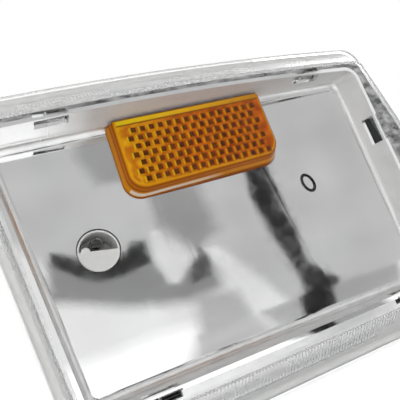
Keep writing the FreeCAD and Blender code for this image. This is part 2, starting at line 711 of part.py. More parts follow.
def place(shape):
    """Moves a finished piece so that the origin lies between the studs on their seat."""
    moved = shape.copy()
    moved.translate(V(0, -SEAT_Y, -STUD_Z))
    return moved


def main():
    os.makedirs("parts", exist_ok=True)
    pieces = {
        "lens": make_lens(),
        "lens_seal": make_lens_seal(),
        "reflector": make_reflector(),
        "amber_reflector": make_amber(),
        "housing": make_housing(),
        "foam_gasket": make_foam_gasket(),
        "stud_left": make_stud(STUD_X[0]),
        "stud_right": make_stud(STUD_X[1]),
        "vent_cap": make_vent_cap(),
        "bulb_holder": make_holder(),
        "holder_seal": make_holder_seal(),
        "terminal_left": make_terminal(-1),
        "terminal_right": make_terminal(1),
        "bulb_glass": make_bulb_glass(),
        "bulb_filament": make_filament(),
        "bulb_leads": Part.makeCompound(lead_wires()),
    }
    for name, shape in pieces.items():
        place(shape).exportStep("parts/%s.step" % name)
        print(name, len(shape.Solids), "solids", round(shape.Volume, 1), "mm3")


main()
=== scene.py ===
import json
import math

import bmesh
import bpy
from mathutils import Matrix, Vector


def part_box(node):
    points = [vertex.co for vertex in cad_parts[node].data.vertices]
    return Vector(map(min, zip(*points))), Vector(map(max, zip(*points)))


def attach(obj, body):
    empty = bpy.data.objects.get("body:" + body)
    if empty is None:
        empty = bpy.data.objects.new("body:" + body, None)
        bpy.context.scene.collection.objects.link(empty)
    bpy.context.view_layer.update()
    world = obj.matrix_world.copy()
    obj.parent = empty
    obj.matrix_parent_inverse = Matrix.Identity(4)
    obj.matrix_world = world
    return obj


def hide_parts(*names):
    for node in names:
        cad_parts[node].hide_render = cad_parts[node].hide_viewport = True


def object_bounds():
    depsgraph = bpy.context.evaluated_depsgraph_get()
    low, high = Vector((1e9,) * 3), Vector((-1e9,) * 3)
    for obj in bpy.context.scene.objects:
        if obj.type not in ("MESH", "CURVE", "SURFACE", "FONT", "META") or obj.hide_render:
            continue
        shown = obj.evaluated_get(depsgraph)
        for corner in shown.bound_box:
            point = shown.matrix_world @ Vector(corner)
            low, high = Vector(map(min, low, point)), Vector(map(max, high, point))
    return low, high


# Corner light of a car. Metres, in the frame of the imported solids.

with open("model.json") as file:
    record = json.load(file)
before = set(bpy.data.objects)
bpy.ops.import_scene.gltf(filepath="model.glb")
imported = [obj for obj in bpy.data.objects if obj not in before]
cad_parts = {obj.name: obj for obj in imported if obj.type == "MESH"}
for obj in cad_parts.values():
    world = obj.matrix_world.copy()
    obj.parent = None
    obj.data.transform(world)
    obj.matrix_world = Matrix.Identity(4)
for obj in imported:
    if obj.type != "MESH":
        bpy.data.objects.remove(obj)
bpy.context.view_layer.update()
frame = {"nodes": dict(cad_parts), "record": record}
nodes = frame["nodes"]

MM = 0.001
WHITE = (1, 1, 1, 1)
BLACK = (0, 0, 0, 1)


# Helpers for objects

def put(name, data):
    """New object in the scene's own collection."""
    thing = bpy.data.objects.new(name, data)
    bpy.context.scene.collection.objects.link(thing)
    return thing


def stand_for(piece, node):
    """Puts a piece on the root body in the place of a CAD node, and hides the node."""
    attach(piece, "root")
    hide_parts(node)


# Helpers for node materials
NOISE_SPAN = (0.3, 0.7)
RIPPLE_DEPTH = 0.2 * MM


def new_material(name, **sockets):
    """A Principled material whose constant sockets are set straight on the shader."""
    material = bpy.data.materials.new(name)
    material.use_nodes = True
    shader = material.node_tree.nodes["Principled BSDF"]
    for label, value in sockets.items():
        shader.inputs[label.replace("_", " ")].default_value = value
    return material, material.node_tree, shader


def add(tree, kind, **settings):
    """New node with its settings."""
    node = tree.nodes.new(kind)
    for label, value in settings.items():
        setattr(node, label, value)
    return node


def noise(tree, scale, detail=3.0, roughness=0.5, stretch=(1, 1, 1)):
    """Noise in object space, scale in features per metre."""
    place = add(tree, "ShaderNodeTexCoord")
    mapping = add(tree, "ShaderNodeMapping")
    mapping.inputs["Scale"].default_value = stretch
    texture = add(tree, "ShaderNodeTexNoise")
    texture.inputs["Scale"].default_value = scale
    texture.inputs["Detail"].default_value = detail
    texture.inputs["Roughness"].default_value = roughness
    tree.links.new(place.outputs["Object"], mapping.inputs["Vector"])
    tree.links.new(mapping.outputs["Vector"], texture.inputs["Vector"])
    return texture.outputs["Fac"]


def axes(tree):
    """X, Y and Z of the object's own space."""
    place = add(tree, "ShaderNodeTexCoord")
    split = add(tree, "ShaderNodeSeparateXYZ")
    tree.links.new(place.outputs["Object"], split.inputs["Vector"])
    return split.outputs


def fade(tree, value, start, stop):
    """Mask that runs from 0 at start to 1 at stop."""
    node = add(tree, "ShaderNodeMapRange")
    node.inputs["From Min"].default_value = start
    node.inputs["From Max"].default_value = stop
    tree.links.new(value, node.inputs["Value"])
    return node.outputs["Result"]


def between(tree, mask, start, stop):
    """Number that goes from start to stop with a mask."""
    node = add(tree, "ShaderNodeMapRange")
    node.inputs["To Min"].default_value = start
    node.inputs["To Max"].default_value = stop
    tree.links.new(mask, node.inputs["Value"])
    return node.outputs["Result"]


def calculate(tree, operation, first, second):
    """Result of one operation on two values."""
    node = add(tree, "ShaderNodeMath", operation=operation)
    tree.links.new(first, node.inputs[0])
    tree.links.new(second, node.inputs[1])
    return node.outputs["Value"]


def sloped(tree, value, slope, base):
    """A value times a fixed slope, plus a base."""
    node = add(tree, "ShaderNodeMath", operation="MULTIPLY_ADD")
    node.inputs[1].default_value = slope
    tree.links.new(value, node.inputs[0])
    tree.links.new(base, node.inputs[2])
    return node.outputs["Value"]


def blend(tree, mask, first, second):
    """Colour that goes from first to second with a mask."""
    node = add(tree, "ShaderNodeMix", data_type="RGBA")
    tree.links.new(mask, node.inputs["Factor"])
    tree.links.new(first, node.inputs["A"])
    tree.links.new(second, node.inputs["B"])
    return node.outputs["Result"]


def ramp(tree, value, stops):
    """Colour ramp with (position, grey or colour) stops."""
    node = add(tree, "ShaderNodeValToRGB")
    while len(node.color_ramp.elements) < len(stops):
        node.color_ramp.elements.new(0.5)
    for element, (position, colour) in zip(node.color_ramp.elements, stops):
        element.position = position
        element.color = (colour,) * 3 + (1,) if isinstance(colour, float) else tuple(colour) + (1,)
    tree.links.new(value, node.inputs["Fac"])
    return node.outputs["Color"]


def tones(tree, value, pair, span=NOISE_SPAN):
    """First to second tone of a pair, over the span in which most of a noise lies."""
    return ramp(tree, value, list(zip(span, pair)))


def bump(tree, shader, height, strength=0.5, distance=RIPPLE_DEPTH):
    """Small relief on a surface."""
    node = add(tree, "ShaderNodeBump")
    node.inputs["Strength"].default_value = strength
    node.inputs["Distance"].default_value = distance
    tree.links.new(height, node.inputs["Height"])
    tree.links.new(node.outputs["Normal"], shader.inputs["Normal"])


def textured(name, grain, colours, roughness, depth, metallic=0.0):
    """Material whose colour, roughness and bump all follow one noise."""
    material, tree, shader = new_material(name, Metallic=metallic)
    value = noise(tree, grain, detail=4.0, roughness=0.6)
    tree.links.new(tones(tree, value, colours), shader.inputs["Base Color"])
    tree.links.new(tones(tree, value, roughness), shader.inputs["Roughness"])
    bump(tree, shader, value, distance=depth)
    return material


# Clear lens: moulded acrylic with faint flow in the surface and little gloss
ACRYLIC_IOR = 1.49
GLASS_IOR = 1.5
LENS_TINT = (0.985, 0.99, 0.99)
GLASS_TINT = (0.97, 0.98, 0.985)
CLEAR = (0.99, 0.99, 0.99)
LENS_GLOSS = (0.08, 0.08, 0.08, 1)
CLEAR_HAZE = (0.0, 0.03)
FROSTED_HAZE = (0.22, 0.34)
HAZE_SPAN = (0.4, 0.7)


def make_clear(name, ior, tint, haze):
    material, tree, shader = new_material(name, Transmission_Weight=1.0, IOR=ior, Specular_Tint=LENS_GLOSS)
    flow = noise(tree, 60.0, detail=2.0, roughness=0.4, stretch=(1, 1, 0.4))
    tree.links.new(tones(tree, flow, (tint, CLEAR)), shader.inputs["Base Color"])
    tree.links.new(tones(tree, flow, haze, HAZE_SPAN), shader.inputs["Roughness"])
    bump(tree, shader, flow, strength=0.08)
    return material


# Bright bowl: thin metal film over a moulding, with slow waves and a fine grain in it
FILM = ((0.76, 0.76, 0.755), (0.84, 0.84, 0.84))
FILM_GRAIN = 0.03


def make_bright(name, roughness, scale, depth, stretch=(1, 1, 1)):
    material, tree, shader = new_material(name, Metallic=1.0)
    waves = noise(tree, scale, detail=1.5, roughness=0.4, stretch=stretch)
    grain = noise(tree, 1000.0, roughness=0.7)
    tree.links.new(tones(tree, waves, FILM), shader.inputs["Base Color"])
    tree.links.new(tones(tree, noise(tree, 300.0), roughness), shader.inputs["Roughness"])
    bump(tree, shader, sloped(tree, grain, FILM_GRAIN, waves), distance=depth)
    return material


# Amber plastic, with painted shade and painted highlights: deep or bright by the way that a facet turns to
# the light
AMBER_ROUGHNESS = 0.15
AMBER_SIDES = (-41.0 * MM, 25.0 * MM)
# Reaches of the painted golden light to the left, the painted shade line and the painted highlight strip
# along the top
AMBER_LIT_LEFT = (-12.0 * MM, -42.0 * MM)
AMBER_SHADE_LINE = (72.4 * MM, 72.7 * MM)
AMBER_HIGHLIGHT_STRIP = (72.9 * MM, 73.3 * MM)
AMBER_SPAN = (0.35, 0.65)
GOLD_SPAN = (0.4, 0.6)
# Painted shade for the dark facets, then the face's own deep orange, painted golden light and a painted shade
# line
SHADE_TONES = ((0.09, 0.018, 0.0006), (0.22, 0.05, 0.001))
DEEP_TONES = ((0.46, 0.075, 0.001), (0.78, 0.18, 0.001))
LIT_LEFT_TONES = ((0.72, 0.22, 0.001), (1.0, 0.56, 0.006))
SHADE_LINE_TONES = ((0.28, 0.06, 0.001), (0.34, 0.08, 0.001))
# Painted highlights on the prisms' left sides and along the top of the face
PAINTED_HIGHLIGHT_STOPS = [(0.0, (1.0, 0.80, 0.01)), (0.45, (1.0, 0.52, 0.005)), (1.0, (0.74, 0.22, 0.002))]
HIGHLIGHT_STRIP_STOPS = [(0.0, (1.0, 0.78, 0.006)), (0.5, (1.0, 0.55, 0.008)), (1.0, (0.62, 0.24, 0.01))]
ALONG_EDGE = (0.15, 1, 1)


def make_amber_painted_shade():
    """Painted shade: a dark colour for the prisms' fronts and right sides and for the block's top."""
    material, tree, shader = new_material("amber_painted_shade", Specular_IOR_Level=0.1, Roughness=AMBER_ROUGHNESS)
    depth = noise(tree, 260.0, detail=2.0)
    tree.links.new(tones(tree, depth, SHADE_TONES, AMBER_SPAN), shader.inputs["Base Color"])
    bump(tree, shader, noise(tree, 300.0, detail=2.0, stretch=ALONG_EDGE), strength=0.3)
    return material


def make_amber_painted_highlight():
    """Prism sides that face left, with a painted highlight as if they caught the light: yellow to the left,
    dull orange to the right.
    """
    material, tree, shader = new_material("amber_painted_highlight", Specular_IOR_Level=0.2, Roughness=AMBER_ROUGHNESS)
    across, _, _ = axes(tree)
    colour = ramp(tree, fade(tree, across, *AMBER_SIDES), PAINTED_HIGHLIGHT_STOPS)
    tree.links.new(colour, shader.inputs["Base Color"])
    bump(tree, shader, noise(tree, 300.0, detail=2.0), strength=0.2)
    return material


def make_amber_face():
    """Front of the block: deep orange, with painted golden light to the left, a painted highlight strip along
    the top and a painted shade line under it.
    """
    material, tree, shader = new_material("amber_plastic", Specular_IOR_Level=0.1, Roughness=AMBER_ROUGHNESS)
    across, _, up = axes(tree)
    value = noise(tree, 300.0, detail=2.0)
    deep = tones(tree, value, DEEP_TONES, AMBER_SPAN)
    lit_gold = tones(tree, value, LIT_LEFT_TONES, GOLD_SPAN)
    highlight_strip = ramp(tree, fade(tree, across, *AMBER_SIDES), HIGHLIGHT_STRIP_STOPS)
    # Painted golden light to the left, a painted shade line, and a painted highlight strip along the top
    colour = blend(tree, fade(tree, across, *AMBER_LIT_LEFT), deep, lit_gold)
    colour = blend(tree, fade(tree, up, *AMBER_SHADE_LINE), colour, tones(tree, value, SHADE_LINE_TONES))
    colour = blend(tree, fade(tree, up, *AMBER_HIGHLIGHT_STRIP), colour, highlight_strip)
    tree.links.new(colour, shader.inputs["Base Color"])
    bump(tree, shader, noise(tree, 120.0, detail=2.0), strength=0.1)
    return material


# Plain finishes: features per metre, dark and light tone, range of roughness, depth of the bump, metal or not
FINISHES = {
    "housing_plastic": (2500.0, ((0.70, 0.70, 0.69), (0.80, 0.80, 0.79)), (0.45, 0.6), 0.05 * MM, 0.0),
    # Painted shade: near-black on the tub's inner faces, behind the snap windows
    "housing_inside_painted_shade": (2500.0, ((0.015, 0.015, 0.015), (0.035, 0.035, 0.035)), (0.5, 0.65), 0.05 * MM, 0.0),
    # Painted light: the front flange paler than the rest of the housing
    "housing_flange_painted_light": (2500.0, ((0.92, 0.92, 0.915), (0.96, 0.96, 0.955)), (0.45, 0.6), 0.05 * MM, 0.0),
    # Near-black colour for the walls and bottom of the ring groove in the bowl's floor
    "ring_groove_dark": (900.0, ((0.01, 0.01, 0.01), (0.03, 0.03, 0.03)), (0.5, 0.6), 0.02 * MM, 0.0),
    "sealant": (400.0, ((0.92, 0.92, 0.91), (0.96, 0.96, 0.95)), (0.4, 0.55), 0.2 * MM, 0.0),
    "foam": (1400.0, ((0.015, 0.015, 0.016), (0.07, 0.07, 0.07)), (0.85, 0.95), 0.5 * MM, 0.0),
    "zinc_steel": (700.0, ((0.52, 0.51, 0.47), (0.66, 0.65, 0.62)), (0.25, 0.4), 0.02 * MM, 1.0),
    "black_rubber": (1500.0, ((0.02, 0.02, 0.02), (0.045, 0.045, 0.045)), (0.6, 0.75), 0.04 * MM, 0.0),
    "holder_plastic": (900.0, ((0.86, 0.855, 0.84), (0.93, 0.925, 0.91)), (0.35, 0.5), 0.03 * MM, 0.0),
    "contact_metal": (800.0, ((0.62, 0.48, 0.22), (0.76, 0.62, 0.34)), (0.2, 0.35), 0.02 * MM, 1.0),
    "lamp_wire": (3000.0, ((0.38, 0.36, 0.33), (0.5, 0.48, 0.45)), (0.25, 0.4), 0.01 * MM, 1.0),
}
materials = {name: textured(name, *finish) for name, finish in FINISHES.items()}
materials["clear_lens"] = make_clear("clear_lens", ACRYLIC_IOR, LENS_TINT, CLEAR_HAZE)
materials["bulb_glass"] = make_clear("bulb_glass", GLASS_IOR, GLASS_TINT, CLEAR_HAZE)
materials["bright_bowl"] = make_bright("bright_bowl", roughness=(0.03, 0.07), scale=45.0, depth=0.14 * MM)
materials["amber_plastic"] = make_amber_face()

for part in frame["record"]["subparts"]:
    mesh = nodes[part["node"]].data
    mesh.materials.clear()
    mesh.materials.append(materials[part["material_slot"]])


def paint_faces(node, finishes):
    """Gives each face of a node the first extra finish whose test it meets, by its centre and its normal."""
    mesh = nodes[node].data
    for finish, _ in finishes:
        mesh.materials.append(finish)
    for face in mesh.polygons:
        for index, (_, test) in enumerate(finishes, 1):
            if test(face.center, face.normal):
                face.material_index = index
                break


# Share of a normal along an axis from which a face counts as square to the axis, or as turned to it
SQUARE = 0.9
TURNED = 0.5

# Walls of the amber block: painted light and shade bands that run along its sloping front edge, where the
# light comes out
AMBER_LEFT_X = -40.6 * MM
AMBER_RIGHT_X = 25.0 * MM
FACE_LEFT_Y = -20.3 * MM
FACE_RIGHT_Y = -23.5 * MM
FACE_SLOPE = (FACE_RIGHT_Y - FACE_LEFT_Y) / (AMBER_RIGHT_X - AMBER_LEFT_X)
FACE_MIDDLE_Y = FACE_LEFT_Y - FACE_SLOPE * AMBER_LEFT_X
WALL_HEIGHT = 6.5 * MM
# Painted light and shade bands, from the front edge back to the floor
PAINTED_LIGHT_BANDS = [
    (0.0, (0.95, 0.46, 0.004)),
    (0.07, (0.85, 0.34, 0.003)),
    (0.12, (0.36, 0.07, 0.001)),
    (0.2, (0.58, 0.14, 0.001)),
    (0.3, (0.70, 0.20, 0.001)),
    (0.38, (0.26, 0.05, 0.001)),
    (0.46, (0.72, 0.22, 0.002)),
    (0.7, (0.85, 0.34, 0.004)),
    (0.88, (0.45, 0.10, 0.001)),
    (1.0, (0.32, 0.07, 0.001)),
]
# Painted pale reflection on the lower walls, to the left
PAINTED_SHINE_TONES = ((0.98, 0.72, 0.45), (1.0, 0.90, 0.80))
PAINTED_SHINE_BAND = [(0.52, 0.0), (0.6, 1.0), (0.74, 1.0), (0.82, 0.0)]
PAINTED_SHINE_REACH = (-2.0 * MM, -10.0 * MM)


def make_amber_wall(name, painted_shine):
    """Amber wall with painted light and shade bands, and with a painted pale reflection to the left where one
    is asked for.
    """
    material, tree, shader = new_material(name, Specular_IOR_Level=0.05, Roughness=0.12)
    across, depth, _ = axes(tree)
    behind = sloped(tree, across, -FACE_SLOPE, depth)
    share = fade(tree, behind, FACE_MIDDLE_Y, FACE_MIDDLE_Y + WALL_HEIGHT)
    ripples = noise(tree, 300.0, detail=2.0, stretch=ALONG_EDGE)
    colour = ramp(tree, share, PAINTED_LIGHT_BANDS)
    if painted_shine:
        mask = calculate(tree, "MULTIPLY", ramp(tree, share, PAINTED_SHINE_BAND), fade(tree, across, *PAINTED_SHINE_REACH))
        colour = blend(tree, mask, colour, tones(tree, ripples, PAINTED_SHINE_TONES))
    tree.links.new(colour, shader.inputs["Base Color"])
    bump(tree, shader, ripples, strength=0.3)
    return material


# Amber facets: painted shade on the prisms' fronts and right sides, painted highlights on their left sides,
# painted light and shade bands on the walls
PRISM_START = 0.225 * MM
AMBER_TOP = 0.8
AMBER_FRONT = 0.95


def on_prism(c):
    """True in front of the amber block's sloping face, where only the prisms reach."""
    return c.y < FACE_MIDDLE_Y + FACE_SLOPE * c.x - PRISM_START


def painted_shade_facet(c, n):
    """True on the prisms' fronts and right sides, and on the top of the block, which all get painted shade.
    """
    if on_prism(c):
        return n.y < -SQUARE or n.x > TURNED
    return n.z > AMBER_TOP


paint_faces("amber_reflector", [
    # Painted shade on the prisms' fronts and right sides and on the block's top
    (make_amber_painted_shade(), painted_shade_facet),
    # Painted highlight on the prisms' left sides
    (make_amber_painted_highlight(), lambda c, n: on_prism(c) and n.x < -TURNED),
    # Lower walls get the painted pale reflection
    (make_amber_wall("amber_base", True), lambda c, n: not on_prism(c) and n.z < -TURNED),
    (make_amber_wall("amber_wall", False), lambda c, n: not on_prism(c) and abs(n.y) < AMBER_FRONT),
])

# Ledge between the bowl's lip and the lens: bright metal, with a rippled painted dark reflection above and
# along the right rim
RIM_LEAN = 0.19
RIGHT_PAINTED_DARK = (72.0 * MM, 80.0 * MM)
TOP_PAINTED_DARK = (74.0 * MM, 77.0 * MM)
LEDGE_PALE = (0.78, 0.9)
LEDGE_PAINTED_DARK = (0.08, 0.55)
LEDGE_SPAN = (0.35, 0.65)


def make_ledge():
    material, tree, shader = new_material("bowl_ledge", Metallic=0.7, Roughness=0.25)
    across, _, up = axes(tree)
    right = fade(tree, sloped(tree, up, RIM_LEAN, across), *RIGHT_PAINTED_DARK)
    mask = calculate(tree, "MAXIMUM", right, fade(tree, up, *TOP_PAINTED_DARK))
    ripples = noise(tree, 420.0, roughness=0.6, stretch=(0.5, 1, 1))
    pale = tones(tree, ripples, LEDGE_PALE)
    # Painted dark reflection above and along the right rim
    dark = tones(tree, ripples, LEDGE_PAINTED_DARK, LEDGE_SPAN)
    tree.links.new(blend(tree, mask, pale, dark), shader.inputs["Base Color"])
    bump(tree, shader, ripples)
    return material


# Upper and right walls of the bowl: a painted reflection, white near the floor and greyer at the lip, in
# place of the metal's mirror, which stays only left of the amber block
WALL_PAINTED_PALE = (-26.0 * MM, -19.0 * MM)
WALL_MIRROR = (-44.0 * MM, -66.0 * MM)
LIP_PAINTED_TONES = (0.82, 0.92)
PAINTED_PALE_TONES = (0.94, 0.97)


def make_painted_reflection_wall():
    material, tree, shader = new_material("bowl_wall_painted_reflection", Specular_IOR_Level=0.0, Roughness=0.2)
    across, depth, _ = axes(tree)
    streaks = noise(tree, 160.0, detail=4.0, roughness=0.6, stretch=(0.1, 1, 1))
    lip = tones(tree, streaks, LIP_PAINTED_TONES)
    pale = tones(tree, streaks, PAINTED_PALE_TONES)
    # Painted reflection: white near the floor, greyer at the lip
    tree.links.new(blend(tree, fade(tree, depth, *WALL_PAINTED_PALE), lip, pale), shader.inputs["Base Color"])
    tree.links.new(fade(tree, across, *WALL_MIRROR), shader.inputs["Metallic"])
    bump(tree, shader, streaks)
    return material


# Bowl: a mirror floor with a near-black ring groove, walls with a painted white reflection, satin walls, and
# the ledge
LENS_FRONT_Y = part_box("lens")[0].y
LEDGE_DEPTH = 5.0 * MM
LEDGE_Y = LENS_FRONT_Y + LEDGE_DEPTH
LEDGE_FLAT = 0.99
BOWL_BACK_Y = -14.0 * MM
END_WALL = 0.7
BOWL_FLOOR = 0.97
RING_X = 32.2 * MM
RING_Z = 35.5 * MM
RING_REACH = 4.6 * MM
DISH_RADIUS = 0.9
DISH_X = -34.7 * MM
DISH_Y = -14.25 * MM
NEAR = 0.1 * MM


def in_groove(c, n):
    """True on the walls and the bottom of the ring mark's groove."""
    floor_y = DISH_Y - DISH_RADIUS + math.sqrt(DISH_RADIUS ** 2 - (c.x - DISH_X) ** 2)
    in_reach = math.hypot(c.x - RING_X, c.z - RING_Z) < RING_REACH
    return in_reach and (abs(n.y) < TURNED or c.y > floor_y + NEAR)


satin = make_bright("bright_satin", roughness=(0.3, 0.4), scale=220.0, depth=0.3 * MM, stretch=(1, 1, 0.08))
paint_faces("reflector", [
    (materials["ring_groove_dark"], in_groove),
    (make_ledge(), lambda c, n: n.y < -LEDGE_FLAT and abs(c.y - LEDGE_Y) < NEAR),
    (make_painted_reflection_wall(), lambda c, n: c.y < BOWL_BACK_Y and (n.z < -SQUARE or n.x < -END_WALL)),
    (satin, lambda c, n: c.y < BOWL_BACK_Y and abs(n.y) < BOWL_FLOOR),
])

# Lens: the fluted borders and the edges are lightly frosted
FACE_SKIN = 0.3 * MM
FACE_PLATE_Y = LENS_FRONT_Y + FACE_SKIN
FACE_PLATE = 0.95
frosted = make_clear("lens_border", ACRYLIC_IOR, LENS_TINT, FROSTED_HAZE)
paint_faces("lens", [(frosted, lambda c, n: c.y > FACE_PLATE_Y and abs(n.y) < FACE_PLATE)])

# Housing: a front flange with painted light, paler than the rest, and a tub painted dark inside as painted
# shade, behind the snap windows
housing_low, housing_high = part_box("housing")
housing_middle = (housing_low + housing_high) / 2
TUB_SETBACK = 1.0 * MM
TUB_FRONT_Y = housing_low.y + TUB_SETBACK
TUB_FLOOR_Y = -6.5 * MM
TUB_FLOOR_NEAR = 0.2 * MM
FLANGE_DEPTH = 5.0 * MM
FLANGE_BACK_Y = housing_low.y + FLANGE_DEPTH


def inside_tub(c, n):
    """True on the inner faces of the tub's walls and floor, which get painted shade."""
    inwards = n.x * (housing_middle.x - c.x) + n.z * (housing_middle.z - c.z)
    on_wall = abs(n.y) < TURNED and inwards > 0 and TUB_FRONT_Y < c.y < TUB_FLOOR_Y
    return on_wall or (n.y < -SQUARE and abs(c.y - TUB_FLOOR_Y) < TUB_FLOOR_NEAR)


paint_faces("housing", [
    (materials["housing_inside_painted_shade"], inside_tub),
    (materials["housing_flange_painted_light"], lambda c, n: c.y < FLANGE_BACK_Y),
])

# Studs with a real thread
THREAD_RADIUS = 3.0 * MM
THREAD_PITCH = 1.0 * MM
THREAD_DEPTH = 0.55 * MM
THREAD_CHAMFER = 0.8 * MM
CREST_CUT = 1.3
ROOT_RADIUS = 4.0 * MM
HEAD_THICK = 2.0 * MM
STUD_SEGMENTS = 40
STUD_ANGLES = [math.tau * k / STUD_SEGMENTS for k in range(STUD_SEGMENTS)]
ROWS_PER_TURN = 10
WELD = 0.001 * MM


def stud_radius(y, angle, tip):
    """Radius of a single-start thread with flat crests and a chamfered tip."""
    phase = (y / THREAD_PITCH - angle / math.tau) % 1.0
    height = min(1.0, CREST_CUT * (1.0 - abs(2.0 * phase - 1.0)))
    chamfer = max(0.0, y - (tip - THREAD_CHAMFER))
    return THREAD_RADIUS - max(THREAD_DEPTH * (1.0 - height), chamfer)


def stud_rows(first, last):
    """Rings of (y, radius) from the middle of the head to the middle of the tip."""
    head = (last.x - first.x) / 2
    seat = first.y + HEAD_THICK
    plain = [(first.y, 0.0), (first.y, head), (seat, head), (seat, ROOT_RADIUS), (0.0, ROOT_RADIUS)]
    rows = [[place] * STUD_SEGMENTS for place in plain]
    count = round(last.y / THREAD_PITCH * ROWS_PER_TURN)
    for row in range(count + 1):
        y = last.y * row / count
        rows.append([(y, stud_radius(y, angle, last.y)) for angle in STUD_ANGLES])
    rows.append([(last.y, 0.0)] * STUD_SEGMENTS)
    return rows


def make_stud(node):
    """Threaded piece that stands for a plain stud."""
    first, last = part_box(node)
    centre = (first + last) / 2
    build = bmesh.new()
    grid = []
    for row in stud_rows(first, last):
        ring = []
        for angle, (y, radius) in zip(STUD_ANGLES, row):
            spot = (centre.x + radius * math.cos(angle), y, centre.z + radius * math.sin(angle))
            ring.append(build.verts.new(spot))
        grid.append(ring)
    for near, far in zip(grid, grid[1:]):
        for k in range(STUD_SEGMENTS):
            after = (k + 1) % STUD_SEGMENTS
            build.faces.new((near[k], far[k], far[after], near[after]))
    bmesh.ops.remove_doubles(build, verts=build.verts, dist=WELD)
    bmesh.ops.recalc_face_normals(build, faces=build.faces)
    name = node + "_threaded"
    mesh = bpy.data.meshes.new(name)
    build.to_mesh(mesh)
    build.free()
    mesh.materials.append(materials["zinc_steel"])
    stand_for(put(name, mesh), node)


make_stud("stud_left")
make_stud("stud_right")

# Filament: a fine coil between the two lead wires
COIL_TURNS = 9
COIL_STEPS = 14
COIL_RADIUS = 0.3 * MM
WIRE_RADIUS = 0.07 * MM
spots = sorted((v.co.copy() for v in nodes["bulb_filament"].data.vertices), key=lambda spot: spot.x)
half = len(spots) // 2
coil_start = sum(spots[:half], Vector()) / half
coil_stop = sum(spots[-half:], Vector()) / half
curve = bpy.data.curves.new("filament_coil", "CURVE")
curve.dimensions = "3D"
curve.bevel_depth = WIRE_RADIUS
spline = curve.splines.new("POLY")
spline.points.add(COIL_TURNS * COIL_STEPS)
for index, point in enumerate(spline.points):
    angle = math.tau * index / COIL_STEPS
    middle = coil_start.lerp(coil_stop, index / (COIL_TURNS * COIL_STEPS))
    offset = Vector((0, math.cos(angle), math.sin(angle))) * COIL_RADIUS
    point.co = (*(middle + offset), 1)
curve.materials.append(materials["lamp_wire"])
stand_for(put("filament_coil", curve), "bulb_filament")

# The bead stands a hair clear of the lens, so that the clear flange stays bright
SEAL_GAP = 0.15 * MM
shrink = nodes["lens_seal"].modifiers.new("clear_of_lens", "DISPLACE")
shrink.strength = -SEAL_GAP
shrink.mid_level = 0.0

# Floor and surround, white to the camera and in metal and glass, without more light on the lamp
FLOOR_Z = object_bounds()[0].z
FLOOR_REACH = 6.0
FLOOR_TONES = (0.93, 0.95)
FLOOR_LIFT = 0.34
WORLD_LIGHT = 0.8
WORLD_WHITE = 1.0


def background_rays(tree):
    """1 for the rays that show the background, straight or by way of metal and glass."""
    paths = add(tree, "ShaderNodeLightPath")
    seen = paths.outputs["Is Camera Ray"]
    for label in ("Is Glossy Ray", "Is Transmission Ray"):
        seen = calculate(tree, "MAXIMUM", seen, paths.outputs[label])
    return seen


floor_corners = [(x * FLOOR_REACH, y * FLOOR_REACH, FLOOR_Z) for x, y in ((-1, -1), (1, -1), (1, 1), (-1, 1))]
floor_mesh = bpy.data.meshes.new("floor")
floor_mesh.from_pydata(floor_corners, [], [(0, 1, 2, 3)])
put("floor", floor_mesh)
material, tree, shader = new_material("floor", Roughness=0.9, Emission_Color=WHITE)
tree.links.new(between(tree, background_rays(tree), 0.0, FLOOR_LIFT), shader.inputs["Emission Strength"])
tree.links.new(tones(tree, noise(tree, 3.0), FLOOR_TONES), shader.inputs["Base Color"])
floor_mesh.materials.append(material)

world = bpy.data.worlds.new("studio")
bpy.context.scene.world = world
world.use_nodes = True
tree = world.node_tree
sky = tree.nodes["Background"]
sky.inputs["Color"].default_value = WHITE
tree.links.new(between(tree, background_rays(tree), WORLD_LIGHT, WORLD_WHITE), sky.inputs["Strength"])

# Camera at the photograph's view: below the middle of the face and to its left
CAMERA_PLACE = Vector((-0.0799, -0.1728, 0.0022))
CAMERA_RIGHT = Vector((0.895, -0.295, -0.333))
CAMERA_UP = Vector((0.235, -0.322, 0.917))
CAMERA_BACK = CAMERA_RIGHT.cross(CAMERA_UP)
CAMERA_LENS = 42.3
CAMERA_SENSOR = 36.0
CAMERA_CLIP = 5.0 * MM
camera = put("camera", bpy.data.cameras.new("camera"))
camera.data.lens = CAMERA_LENS
camera.data.sensor_width = CAMERA_SENSOR
camera.data.clip_start = CAMERA_CLIP
turn = Matrix((CAMERA_RIGHT, CAMERA_UP, CAMERA_BACK)).transposed().to_4x4()
camera.matrix_world = Matrix.Translation(CAMERA_PLACE) @ turn
bpy.context.scene.camera = camera

